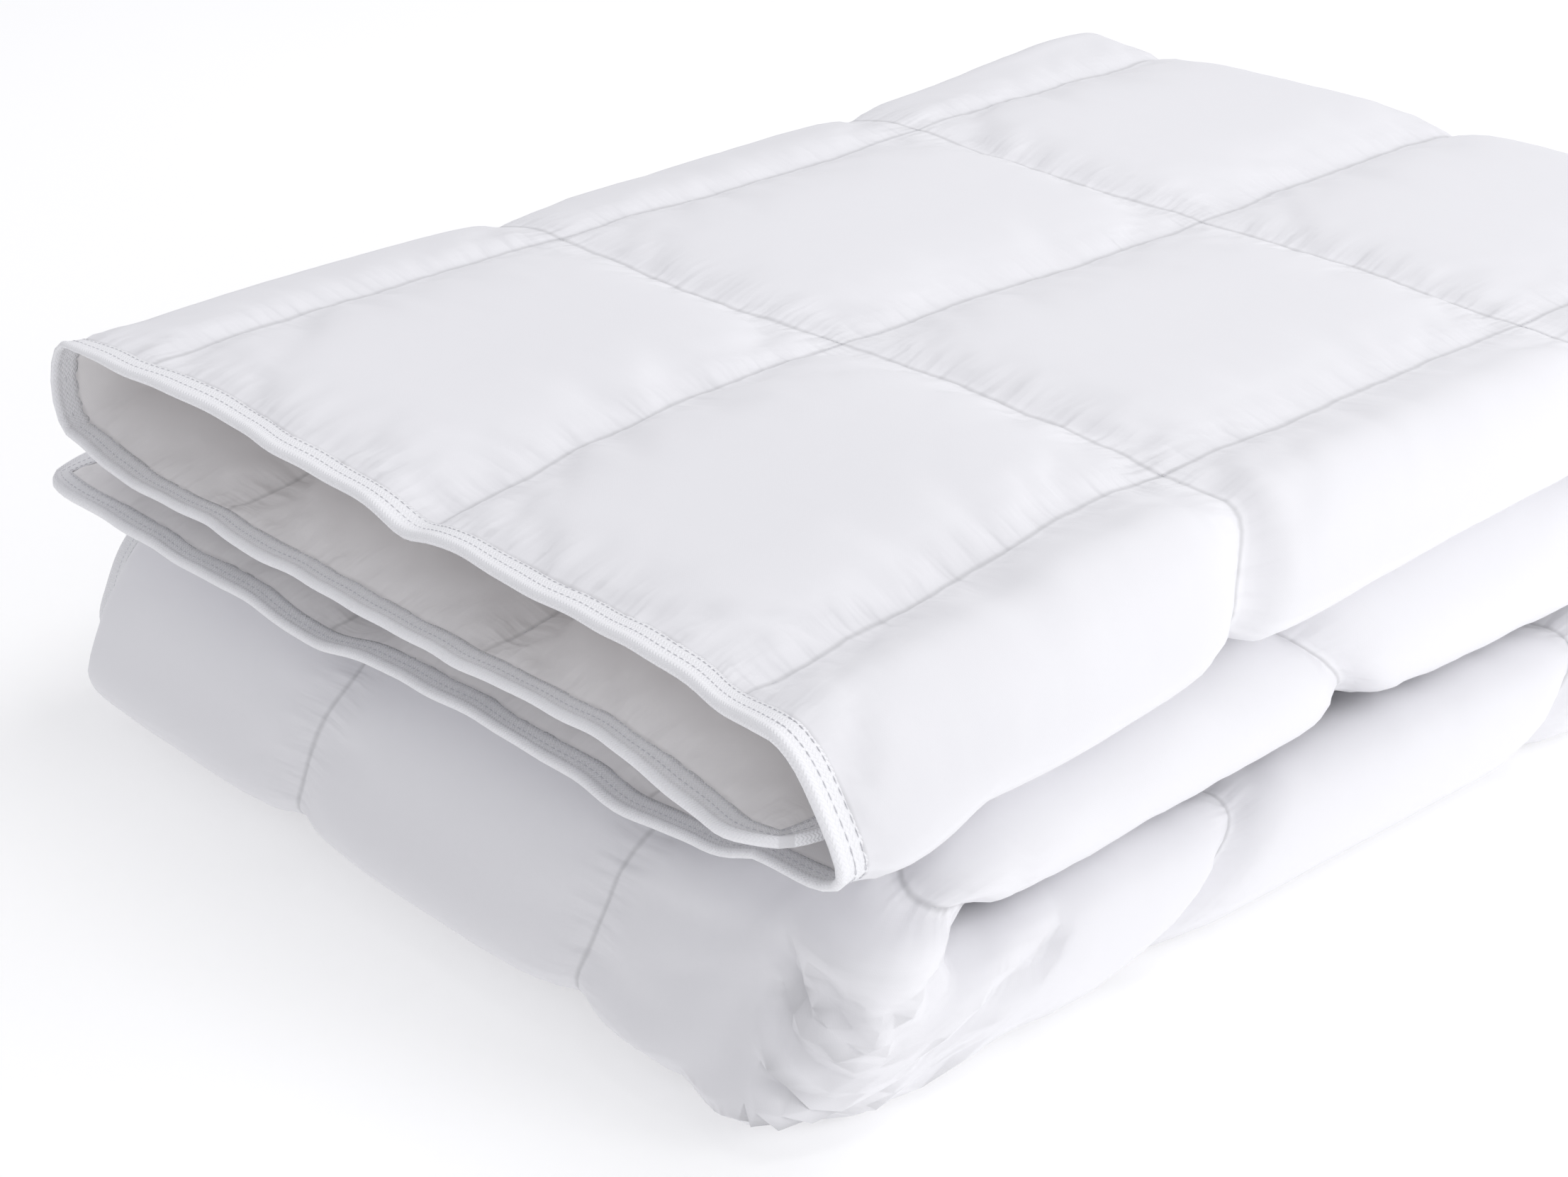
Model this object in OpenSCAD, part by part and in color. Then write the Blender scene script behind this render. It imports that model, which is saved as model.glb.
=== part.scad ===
// Box-quilted down duvet, folded in three across its width and zig-zagged in three along its length.
// X runs across the folded stack, Y from its front edge to its back fold, Z up from the floor.
// Every piece is drawn flat first, as distances across and along the quilt, and then folded by place().

/* [Quilting] */
// Number of boxes across the duvet
columns = 8; // [7:1:9]
// Number of boxes along the duvet
rows = 9; // [8:1:10]
// Width of one box between stitch lines
box_w = 216; // [170:1:270]
// Length of one box between stitch lines
box_l = 254; // [200:1:310]

/* [Fold] */
// Height that one pressed layer takes in the stack
layer_h = 24; // [19:0.5:30]
// Radius left open inside the two cross folds
fold_core = 1.5; // [1:0.1:3]
// How far the first cross fold lies past a third of the length
turn_shift = 36; // [20:1:45]
// How much the stack's weight presses into its underside
rest_press = 2.5; // [1:0.1:4]
// Share of its height that the top packet loses along the front edge
front_sag = 0.13; // [0:0.01:0.18]
// Share of its height that the lower fold loses along the front edge
lower_sag = 0.26; // [0:0.01:0.3]
// How far back from the front edge the sag reaches
sag_reach = 210; // [150:5:300]
// Width at the right where the rolled side holds the stack up
firm_side = 95; // [60:5:150]
// Width at the left where the double fold holds the top packet up
crest_w = 200; // [120:10:260]

/* [Shell] */
// Thickness of the shell cotton
fabric_t = 0.4; // [0.3:0.05:0.6]
// Distance between the two fabrics at a stitch line
seam_gap = 1.6; // [1.2:0.1:2.4]
// Free space between two stacked layers
layer_gap = 0.8; // [0.6:0.1:1.2]

/* [Fill] */
// Free space between the down and the fabric
fill_gap = 0.3; // [0.25:0.05:0.5]
// Distance from a stitch line to the down beside it
fill_inset = 9; // [6:1:14]

/* [Edge] */
// Width of the flat flange inside the piping
flange_w = 10; // [8:0.5:13]
// Diameter of the piping cord
cord_d = 4.8; // [4:0.1:5.6]
// Thickness of the twill binding tape
tape_t = 0.5; // [0.4:0.05:0.7]
// Free space between the cord, the tape and the shell
trim_gap = 0.3; // [0.2:0.05:0.4]
// Diameter of the sewing thread
thread_d = 0.5; // [0.4:0.05:0.6]

/* [Hidden] */

flat_w = columns * box_w;
flat_l = rows * box_l;
packet_h = 3 * layer_h;                        // three layers lie in each run of the zig-zag
arc_steps = 5;                                 // facets in each turn along the length
right_steps = 4;                               // facets in the wide right turn
tight_steps = 3;                               // facets in the tight left turn
crown = (layer_h - layer_gap) / 2;             // mid-surface to the outside of a full box
slope = 3;                                     // a box reaches its full height at a third of its side
shell_at_seam = seam_gap / 2;

// Turns across the width: left one from layer 2 to layer 1, right one from layer 1 to layer 3
left_r = layer_h / 2;
right_r = layer_h;
left_turn = [flat_w / 3 - PI * left_r / 2, flat_w / 3 + PI * left_r / 2];
right_turn = [2 * flat_w / 3 - PI * right_r / 2, 2 * flat_w / 3 + PI * right_r / 2];
left_axis = left_turn[1] - flat_w / 3;
right_axis = right_turn[0] - flat_w / 3;
tape_reach = trim_gap + cord_d + 2 * trim_gap + tape_t;
inner_edge_x = right_axis + left_r - tape_reach - 2 * cord_d;   // free end inside the right turn

// Turns along the length: the back one carries the top packet over, the front one the middle packet
back_arc = PI * 2.5 * layer_h;
front_arc = PI * 0.5 * layer_h;
back_turn = [flat_l / 3 + turn_shift - back_arc / 2, flat_l / 3 + turn_shift + back_arc / 2];
front_turn = [2 * flat_l / 3 + turn_shift - front_arc / 2, 2 * flat_l / 3 + turn_shift + front_arc / 2];
back_axis = back_turn[0];
front_axis = back_axis - (front_turn[0] - back_turn[1]);
middle_top = 2 * packet_h + 2 * fold_core;
stack_h = 3 * packet_h + 4 * fold_core;

function clamp01(a) = max(0, min(1, a));
function ease(a) = let (c = clamp01(a)) c * c * (3 - 2 * c);
function turn_angle(s, turn) = 180 * (s - turn[0]) / (turn[1] - turn[0]);

// Across the width: distance s from the left edge and offset n from the mid-surface give x and height in a packet
function across(s, n) =
    s < left_turn[0] ? [left_axis + (left_turn[0] - s) * (inner_edge_x - left_axis) / left_turn[0],
                        1.5 * layer_h - n] :
    s < left_turn[1] ? let (a = turn_angle(s, left_turn))
        [left_axis - (left_r + n) * sin(a), 2 * layer_h - (left_r + n) * cos(a)] :
    s < right_turn[0] ? [s - flat_w / 3, 2.5 * layer_h + n] :
    s < right_turn[1] ? let (a = turn_angle(s, right_turn))
        [right_axis + (right_r + n) * sin(a), 1.5 * layer_h + (right_r + n) * cos(a)] :
    [right_axis - (s - right_turn[1]), 0.5 * layer_h - n];

// Along the length: distance s from the front edge and height h in the packet give y and z
function along(s, h) =
    s < back_turn[0] ? [s, middle_top + 2 * fold_core + h] :
    s < back_turn[1] ? let (a = turn_angle(s, back_turn))
        [back_axis + (fold_core + h) * sin(a), middle_top + fold_core + (fold_core + h) * cos(a)] :
    s < front_turn[0] ? [back_axis - (s - back_turn[1]), middle_top - h] :
    s < front_turn[1] ? let (a = turn_angle(s, front_turn), r = packet_h - h + fold_core)
        [front_axis - r * sin(a), packet_h + fold_core + r * cos(a)] :
    [front_axis + s - front_turn[1], h];

// The soft stack sags towards its front edge: its lower fold less so at the rolled right side,
// and its top packet less so over the double fold on the left
function sagged(x, y, z) =
    let (front = 1 - ease(y / sag_reach),
         roll = 0.1 + 0.9 * ease((flat_w / 3 - x) / firm_side),
         crest = 0.45 + 0.55 * ease(x / crest_w),
         top = stack_h * (1 - front_sag * front * crest),
         middle = middle_top * (1 - lower_sag * front * roll))
    z < middle_top ? z * middle / middle_top
                   : middle + (z - middle_top) * (top - middle) / (stack_h - middle_top);

function folded(su, sv, n, lift) =
    let (a = across(su, n), b = along(sv, a[1]))
    [a[0], b[0], max(lift, sagged(a[0], b[0], b[1]) - rest_press)];

// Grid lines on the flat quilt: thirds of each box, and even steps round each turn
function sorted(v) = len(v) < 2 ? v :
    let (p = v[floor(len(v) / 2)])
    concat(sorted([for (e = v) if (e < p) e]), [p], sorted([for (e = v) if (e > p) e]));
function box_lines(count, size) = concat([flange_w, count * size - flange_w],
    [for (i = [0:count - 1], k = [0:2]) (i + k / 3) * size, count * size]);
function arc_lines(turn, steps) = [for (k = [0:steps]) turn[0] + k * (turn[1] - turn[0]) / steps];
function near(v, e, d) = len([for (b = v) if (abs(b - e) < d) 1]) > 0;
function grid_lines(base, turns, steps) =
    let (arcs = [for (t = [0, 1], e = arc_lines(turns[t], steps[t]))
        if (!near(base, e, (turns[t][1] - turns[t][0]) / steps[t] / 3)) e])
    sorted(concat(base, arcs));
turns_u = [left_turn, right_turn];
turns_v = [back_turn, front_turn];
lines_u = grid_lines(box_lines(columns, box_w), turns_u, [tight_steps, right_steps]);
lines_v = grid_lines(box_lines(rows, box_l), turns_v, [arc_steps, arc_steps]);

// The same lines with the thirds of a box left out where the fold runs straight, for cords and threads
function is_third(s, size) = let (f = s / size * 3) abs(f - round(f)) < 0.001 && round(f) % 3 != 0;
function within(s, turn, reach) = s > turn[0] - reach && s < turn[1] + reach;
trim_u = [for (s = lines_u)
    if (!is_third(s, box_w) || s < firm_side || abs(s - flat_w / 3) < crest_w + box_w / 3
        || within(s, right_turn, firm_side + box_w / 3) || s > flat_w - crest_w) s];
trim_v = [for (s = lines_v)
    if (!is_third(s, box_l) || s < sag_reach || within(s, back_turn, 0) || within(s, front_turn, sag_reach)) s];

// How full a box is, from 0 on its stitch lines and on the flange to 1 over its middle
function rise(s, size, total) =
    let (f = s / size - floor(s / size), edge = min(s, total - s) - flange_w)
    clamp01(min(slope * min(f, 1 - f), slope * edge / size));
function fullness(u, v) = rise(u, box_w, flat_w) * rise(v, box_l, flat_l);

// Offsets from the mid-surface: inside and outside of a fabric, and the surface of the down
function shell_in(u, v) = shell_at_seam + (crown - fabric_t - shell_at_seam) * fullness(u, v);
function shell_out(u, v) = shell_in(u, v) + fabric_t;
function fill_top(u, v) = shell_in(u, v) - fill_gap;

// The stack's own box sets the origin: middle of its underside
outline = [for (u = lines_u, v = lines_v, side = [-1, 1]) folded(u, v, side * shell_out(u, v), 0)];
low_x = min([for (p = outline) p[0]]);
high_x = max([for (p = outline) p[0]]);
low_y = min([for (p = outline) p[1]]);
high_y = max([for (p = outline) p[1]]);
origin = [(low_x + high_x) / 2, (low_y + high_y) / 2, 0];
function place(su, sv, n, lift = 0) = folded(su, sv, n, lift) - origin;

// A point between grid lines, on the straight facets that the fabric has there
function mix(a, b, f) = a * (1 - f) + b * f;
function line_below(lines, s) = max([for (k = [0:len(lines) - 2]) if (lines[k] <= s) k]);
function on_facet(su, sv, lift) =
    let (i = line_below(lines_u, su), j = line_below(lines_v, sv), u = [lines_u[i], lines_u[i + 1]],
         v = [lines_v[j], lines_v[j + 1]], fu = (su - u[0]) / (u[1] - u[0]), fv = (sv - v[0]) / (v[1] - v[0]))
    mix(mix(place(u[0], v[0], 0, lift), place(u[1], v[0], 0, lift), fu),
        mix(place(u[0], v[1], 0, lift), place(u[1], v[1], 0, lift), fu), fv);

// Two triangles for a grid cell, with the diagonal that rises towards the middle of its box
function cell(a, b, c, d, rising) = rising ? [[a, b, c], [a, c, d]] : [[a, b, d], [b, c, d]];

// A closed slab over the grid of us by vs, between two sets of points in the same order.
// A pinched slab has no side walls: its two sides share their outline.
module slab(us, vs, upper, lower, pinched = false) {
    nu = len(us);
    nv = len(vs);
    count = nu * nv;
    mid_u = function (i) let (m = (us[i] + us[i + 1]) / 2 / box_w) m - floor(m) < 0.5;
    mid_v = function (j) let (m = (vs[j] + vs[j + 1]) / 2 / box_l) m - floor(m) < 0.5;
    tops = [for (i = [0:nu - 2], j = [0:nv - 2])
        each cell(i * nv + j, i * nv + j + 1, (i + 1) * nv + j + 1, (i + 1) * nv + j, mid_u(i) == mid_v(j))];
    rim = concat([for (j = [0:nv - 1]) j], [for (i = [1:nu - 1]) i * nv + nv - 1],
                 [for (j = [nv - 2:-1:0]) (nu - 1) * nv + j], [for (i = [nu - 2:-1:1]) i * nv]);
    sides = pinched ? [] : [for (k = [0:len(rim) - 1]) let (a = rim[k], b = rim[(k + 1) % len(rim)])
        each [[b, a, a + count], [b, a + count, b + count]]];
    under = function (k) let (i = floor(k / nv), j = k % nv)
        pinched && (i == 0 || i == nu - 1 || j == 0 || j == nv - 1) ? k : k + count;
    polyhedron(concat(upper, lower), concat(tops, [for (f = tops) [under(f[2]), under(f[1]), under(f[0])]], sides));
}

// One of the two fabrics: side 1 is the face and side -1 the back
module shell(side) {
    outer = [for (u = lines_u, v = lines_v) place(u, v, side * shell_out(u, v))];
    inner = [for (u = lines_u, v = lines_v) place(u, v, side * shell_in(u, v), fabric_t)];
    if (side > 0) slab(lines_u, lines_v, outer, inner);
    else slab(lines_u, lines_v, inner, outer);
}

// The down in one box, a separate pillow that its stitch lines hold
module down(column, row) {
    span = function (lines, i, size, total)
        let (low = i * size + (i == 0 ? flange_w : 0) + fill_inset,
             high = (i + 1) * size - ((i + 1) * size > total - 1 ? flange_w : 0) - fill_inset)
        concat([low], [for (e = lines) if (e > low + 1 && e < high - 1) e], [high]);
    us = span(lines_u, column, box_w, flat_w);
    vs = span(lines_v, row, box_l, flat_l);
    lift = fabric_t + fill_gap;
    skin = function (side) [for (u = us, v = vs)
        u == us[0] || u == us[len(us) - 1] || v == vs[0] || v == vs[len(vs) - 1]
            ? on_facet(u, v, lift) : place(u, v, side * fill_top(u, v), lift)];
    slab(us, vs, skin(1), skin(-1), pinched = true);
}
module down_fill_row(row) { color("ivory") for (c = [0:columns - 1]) down(c, row - 1); }

// A profile of [outward, n] points swept along stations of [u, v, out_u, out_v] on the flat quilt
module sweep(profile, stations, closed) {
    m = len(profile);
    k = len(stations);
    points = [for (s = stations, p = profile) place(s[0] + s[2] * p[0], s[1] + s[3] * p[0], p[1])];
    last = closed ? k - 1 : k - 2;
    walls = [for (i = [0:last], j = [0:m - 1])
        let (a = i * m + j, b = i * m + (j + 1) % m, c = ((i + 1) % k) * m + (j + 1) % m, d = ((i + 1) % k) * m + j)
        each [[a, b, c], [a, c, d]]];
    caps = closed ? [] : concat([for (j = [1:m - 2]) [0, j + 1, j]],
                                [for (j = [1:m - 2]) [(k - 1) * m, (k - 1) * m + j, (k - 1) * m + j + 1]]);
    polyhedron(points, concat(walls, caps));
}
// Stations once round the duvet's edge, with mitred corners
round_edge = concat(
    [[0, 0, -1, -1]], [for (v = trim_v) if (v > 0 && v < flat_l) [0, v, -1, 0]],
    [[0, flat_l, -1, 1]], [for (u = trim_u) if (u > 0 && u < flat_w) [u, flat_l, 0, 1]],
    [[flat_w, flat_l, 1, 1]], [for (i = [len(trim_v) - 2:-1:1]) [flat_w, trim_v[i], 1, 0]],
    [[flat_w, 0, 1, -1]], [for (i = [len(trim_u) - 2:-1:1]) [trim_u[i], 0, 0, -1]]);
cord_out = trim_gap + cord_d / 2;
function circle_points(r, sides, middle) =
    [for (k = [0:sides - 1]) [middle + r * cos(360 * k / sides), r * sin(360 * k / sides)]];
thread_profile = circle_points(thread_d / 2, 3, 0);

module face_fabric() { color("white") shell(1); }
module back_fabric() { color("ghostwhite") shell(-1); }
module piping_cord() { color("snow") sweep(circle_points(cord_d / 2, 6, cord_out), round_edge, true); }

// Twill tape folded over the cord, with a leg on each side of the flange
tape_in = cord_d / 2 + trim_gap;
tape_out = tape_in + tape_t;
leg_in = shell_at_seam + fabric_t + trim_gap;
leg_w = flange_w * 0.55;
module binding_tape() {
    bend = [90, 30, -30, -90];
    outer = [for (a = bend) [cord_out + tape_out / cos(30) * cos(a), tape_out * sin(a) / max(abs(sin(a)), cos(30))]];
    inner = [for (a = bend) [cord_out + tape_in / cos(30) * cos(a), tape_in * sin(a) / max(abs(sin(a)), cos(30))]];
    profile = concat([[-leg_w, leg_in + tape_t]], outer, [[-leg_w, -leg_in - tape_t]],
                     [[-leg_w, -leg_in]], [for (i = [3:-1:0]) inner[i]], [[-leg_w, leg_in]]);
    color("whitesmoke") sweep([for (i = [len(profile) - 1:-1:0]) profile[i]], round_edge, true);
}

// Thread of the flange seam, between the two fabrics
module edge_stitching() {
    inset = [for (p = thread_profile) p - [flange_w * 0.8, 0]];
    color("gainsboro") sweep(inset, round_edge, true);
}
// Thread of the stitch lines that run with the length, and of those that run with the width
function shifted(profile, n) = [for (p = profile) p + [0, n]];
module lengthwise_stitching() {
    color("gainsboro") for (c = [1:columns - 1])
        sweep(shifted(thread_profile, -thread_d / 2 - 0.05),
              [for (v = trim_v) [c * box_w, clamp_run(v, flat_l), -1, 0]], false);
}
module crosswise_stitching() {
    color("gainsboro") for (r = [1:rows - 1])
        sweep(shifted(thread_profile, thread_d / 2 + 0.05),
              [for (u = trim_u) [clamp_run(u, flat_w), r * box_l, 0, 1]], false);
}
function clamp_run(s, total) = max(flange_w, min(total - flange_w, s));

face_fabric();
back_fabric();
for (r = [1:rows]) down_fill_row(r);
piping_cord();
binding_tape();
edge_stitching();
lengthwise_stitching();
crosswise_stitching();
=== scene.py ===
"""A white box-quilted down duvet, folded into a soft stack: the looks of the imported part."""

import math

import bmesh
import bpy
import numpy as np
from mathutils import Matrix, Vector


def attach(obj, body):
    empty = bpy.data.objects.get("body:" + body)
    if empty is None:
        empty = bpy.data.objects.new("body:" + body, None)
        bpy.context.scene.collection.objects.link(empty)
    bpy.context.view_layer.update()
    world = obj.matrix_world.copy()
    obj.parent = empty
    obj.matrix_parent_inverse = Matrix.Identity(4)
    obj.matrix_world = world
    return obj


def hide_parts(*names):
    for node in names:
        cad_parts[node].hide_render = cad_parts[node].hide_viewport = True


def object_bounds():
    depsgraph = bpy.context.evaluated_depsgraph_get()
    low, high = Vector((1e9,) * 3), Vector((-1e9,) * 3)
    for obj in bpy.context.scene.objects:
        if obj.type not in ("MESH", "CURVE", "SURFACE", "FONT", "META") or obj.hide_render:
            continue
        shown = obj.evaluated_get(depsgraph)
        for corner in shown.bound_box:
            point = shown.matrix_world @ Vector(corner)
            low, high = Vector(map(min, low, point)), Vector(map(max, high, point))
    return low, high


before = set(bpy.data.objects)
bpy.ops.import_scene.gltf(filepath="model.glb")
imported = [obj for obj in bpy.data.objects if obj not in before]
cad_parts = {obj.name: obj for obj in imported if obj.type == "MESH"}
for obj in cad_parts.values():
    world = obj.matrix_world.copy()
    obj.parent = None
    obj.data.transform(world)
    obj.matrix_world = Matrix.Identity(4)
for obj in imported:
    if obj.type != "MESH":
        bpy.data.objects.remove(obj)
box_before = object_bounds()

PI = math.pi
MM = 0.001

# ---- the flat quilt, in metres -------------------------------------------------------------
COLUMNS, ROWS = 8, 9
BOX_W, BOX_L = 0.216, 0.254
WIDTH, LENGTH = COLUMNS * BOX_W, ROWS * BOX_L
LAYER = 0.024                       # one quilted layer in the stack
CORE = 0.0015                       # half the slack inside the turns along the length
PRESS = 0.0025                      # how far the stack settles into itself on the floor
MARGIN = 8.5 * MM                   # fabric outside the outermost seam, under the tape
CORD_OUT, CORD_R = 11.4 * MM, 2.2 * MM
CORNER_R = 30 * MM
STITCH = 3.56 * MM

# ---- the folds -----------------------------------------------------------------------------
THIRD = WIDTH / 3
STACK3 = 3 * LAYER
LEFT_IN, LEFT_OUT = THIRD - PI * LAYER / 4, THIRD + PI * LAYER / 4
RIGHT_IN, RIGHT_OUT = 2 * THIRD - PI * LAYER / 2, 2 * THIRD + PI * LAYER / 2
LEFT_X = LEFT_OUT - THIRD
RIGHT_X = RIGHT_IN - THIRD
MIDDLE_END = RIGHT_X + LAYER / 2 - 0.0158
MIDDLE_TOP = 2 * STACK3 + 2 * CORE
BACK_LIMIT = 0.800
STACK = 3 * STACK3 + 4 * CORE
# Where the turns along the length lie on the top layer and on the bottom layer.
TOP_TURNS = dict(back=0.7038, back_in=0.7038, back_out=0.8922, front_mid=1.560, front=0.0548, end=0.762)
LOW_TURNS = dict(back=0.690, back_in=0.690, back_out=0.734, front_mid=1.654, front=0.050, end=0.728)
FRONT_FACE = 1.654                  # middle of the front fold's outer face, along the flat quilt
FRONT_EASE = 0.93                   # cloth round the front turn, over the length of its arc

# How the stack settles and leans towards its open front edges.
SETTLE = 0.26                       # share of its height that the lower stack loses at the front
MIDDLE_DROOP = 0.0345
SIDE_LEAN, LOW_SIDE_LEAN = 0.033, 0.021
GROOVE = 0.070                      # height of the groove between the lower two rolls
FOOT_LEFT, FOOT_RIGHT = 0.034, 0.041    # how far the foot of the front fold stands out
SEAM_PINCH = 6.5 * MM
EDGE_TUCK, EDGE_DRAW = 22 * MM, 8 * MM
BUNCH_A, BUNCH_B = 5.45 * BOX_W, 1.58   # middle of the bunched cloth, where the pillows are thinner

START = box_before[0]
ORIGIN = np.array([-0.00475 - START[0], -0.0123 - START[1], 0.0])


def ease(a):
    """A smooth step from 0 to 1."""
    c = np.clip(a, 0.0, 1.0)
    return c * c * (3 - 2 * c)


def bump(a, middle, half):
    """A smooth hill of height 1."""
    return np.exp(-(((a - middle) / half) ** 2))


def mix(a, b, w):
    return a + (b - a) * w


class Waves:
    """A smooth random field over the flat quilt, the same at every run."""

    def __init__(self, seed, wave, count=14, spread=0.5):
        rng = np.random.default_rng(seed)
        self.turn = rng.uniform(0, 2 * PI, count)
        self.rate = 2 * PI / (wave * np.exp(rng.uniform(-spread, spread, count)))
        self.start = rng.uniform(0, 2 * PI, count)
        self.scale = math.sqrt(2.0 / count)

    def __call__(self, a, b):
        total = 0.0
        for turn, rate, start in zip(self.turn, self.rate, self.start):
            total = total + np.sin(rate * (math.cos(turn) * a + math.sin(turn) * b) + start)
        return total * self.scale


wander_a, wander_b = Waves(11, 0.06), Waves(12, 0.06)
drift_a, drift_b = Waves(13, 0.3, 8), Waves(14, 0.3, 8)
swell = Waves(16, 0.5, 6)


class SpaceWaves(Waves):
    """The same kind of field, but over the folded stack instead of the flat quilt."""

    def __call__(self, x, y, z):
        total = 0.0
        for k, (turn, rate, start) in enumerate(zip(self.turn, self.rate, self.start)):
            rise = math.sin(2.4 * k)
            level = math.sqrt(1 - rise * rise)
            level_part = level * (math.cos(turn) * x + math.sin(turn) * y)
            total = total + np.sin(rate * (level_part + rise * z) + start)
        return total * self.scale


crease_small, crease_big = SpaceWaves(17, 0.022, 12), SpaceWaves(18, 0.055, 12)


def across(a, n):
    """The letter fold in the width: left third in the middle, middle third on top, right third below."""
    left = PI * (a - LEFT_IN) / (LEFT_OUT - LEFT_IN)
    right = PI * (a - RIGHT_IN) / (RIGHT_OUT - RIGHT_IN)
    steps = [a < LEFT_IN, a < LEFT_OUT, a < RIGHT_IN, a < RIGHT_OUT]
    x = np.select(steps, [
        LEFT_X + (LEFT_IN - a) * (MIDDLE_END - LEFT_X) / LEFT_IN,
        LEFT_X - (LAYER / 2 + n) * np.sin(left),
        a - THIRD,
        RIGHT_X + (LAYER + n) * np.sin(right)], RIGHT_X - (a - RIGHT_OUT))
    h = np.select(steps, [
        1.5 * LAYER - n,
        2 * LAYER - (LAYER / 2 + n) * np.cos(left),
        2.5 * LAYER + n,
        1.5 * LAYER + (LAYER + n) * np.cos(right)], 0.5 * LAYER - n)
    return x, h


def along(b, h, t):
    """The Z fold in the length: three runs on top of one another."""
    back = PI * (b - t["back_in"]) / (t["back_out"] - t["back_in"])
    front = PI * (b - t["front_in"]) / (t["front_out"] - t["front_in"])
    r = STACK3 - h + CORE
    run2 = (t["back"] - t["front"]) / (t["front_in"] - t["back_out"])
    run3 = (t["end"] - t["front"]) / (LENGTH - t["front_out"])
    steps = [b < t["back_in"], b < t["back_out"], b < t["front_in"], b < t["front_out"]]
    y = np.select(steps, [
        b + t["back"] - t["back_in"],
        t["back"] + (CORE + h) * np.sin(back),
        t["back"] - (b - t["back_out"]) * run2,
        t["front"] - r * np.sin(front)], t["front"] + (b - t["front_out"]) * run3)
    z = np.select(steps, [
        MIDDLE_TOP + 2 * CORE + h,
        MIDDLE_TOP + CORE + (CORE + h) * np.cos(back),
        MIDDLE_TOP - h,
        STACK3 + CORE + r * np.cos(front)], h)
    return y, z


def rounded(a, b):
    """Takes the four corners of the flat quilt round a small radius."""
    reach = CORNER_R + CORD_OUT + CORD_R
    da = np.where(a < CORNER_R, CORNER_R - a, np.where(a > WIDTH - CORNER_R, a - WIDTH + CORNER_R, 0.0))
    db = np.where(b < CORNER_R, CORNER_R - b, np.where(b > LENGTH - CORNER_R, b - LENGTH + CORNER_R, 0.0))
    p, q = np.clip(da / reach, 0, 1), np.clip(db / reach, 0, 1)
    na, nb = da * np.sqrt(1 - q * q / 2), db * np.sqrt(1 - p * p / 2)
    a = np.where(a < CORNER_R, CORNER_R - na, np.where(a > WIDTH - CORNER_R, WIDTH - CORNER_R + na, a))
    b = np.where(b < CORNER_R, CORNER_R - nb, np.where(b > LENGTH - CORNER_R, LENGTH - CORNER_R + nb, b))
    return a, b


# Where the letter fold meets the front fold the cloth bunches, and creases fan out from that point.
MEETING_A = (RIGHT_IN + RIGHT_OUT) / 2
MEETING_B = (TOP_TURNS["front_mid"] + LOW_TURNS["front_mid"]) / 2
FAN_CREASES = 9
FAN_HALF_ANGLE = math.radians(100)
FAN_START = LAYER / 4               # clear of the meeting point itself
CREASE_LENGTH = 2 * LAYER
CREASE_DEPTH = LAYER / 2
CREASE_HALF_WIDTH = LAYER / 4


def creased(a, b):
    """Depth of the fan of creases at the front right corner."""
    rng = np.random.default_rng(19)
    deep = 0.0
    for k in range(FAN_CREASES):
        angle = FAN_HALF_ANGLE * (2 * k / (FAN_CREASES - 1) - 1) + rng.uniform(-0.12, 0.12)
        length = CREASE_LENGTH * rng.uniform(0.5, 1.0)
        depth = CREASE_DEPTH * rng.uniform(0.5, 1.0)
        along_a, along_b = math.cos(angle), math.sin(angle)
        p, q = a - MEETING_A, b - MEETING_B
        run = np.clip(p * along_a + q * along_b, FAN_START, FAN_START + length)
        gap = np.hypot(p - run * along_a, q - run * along_b)
        deep = np.maximum(deep, depth * bump(gap, 0, CREASE_HALF_WIDTH))
    return deep


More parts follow.
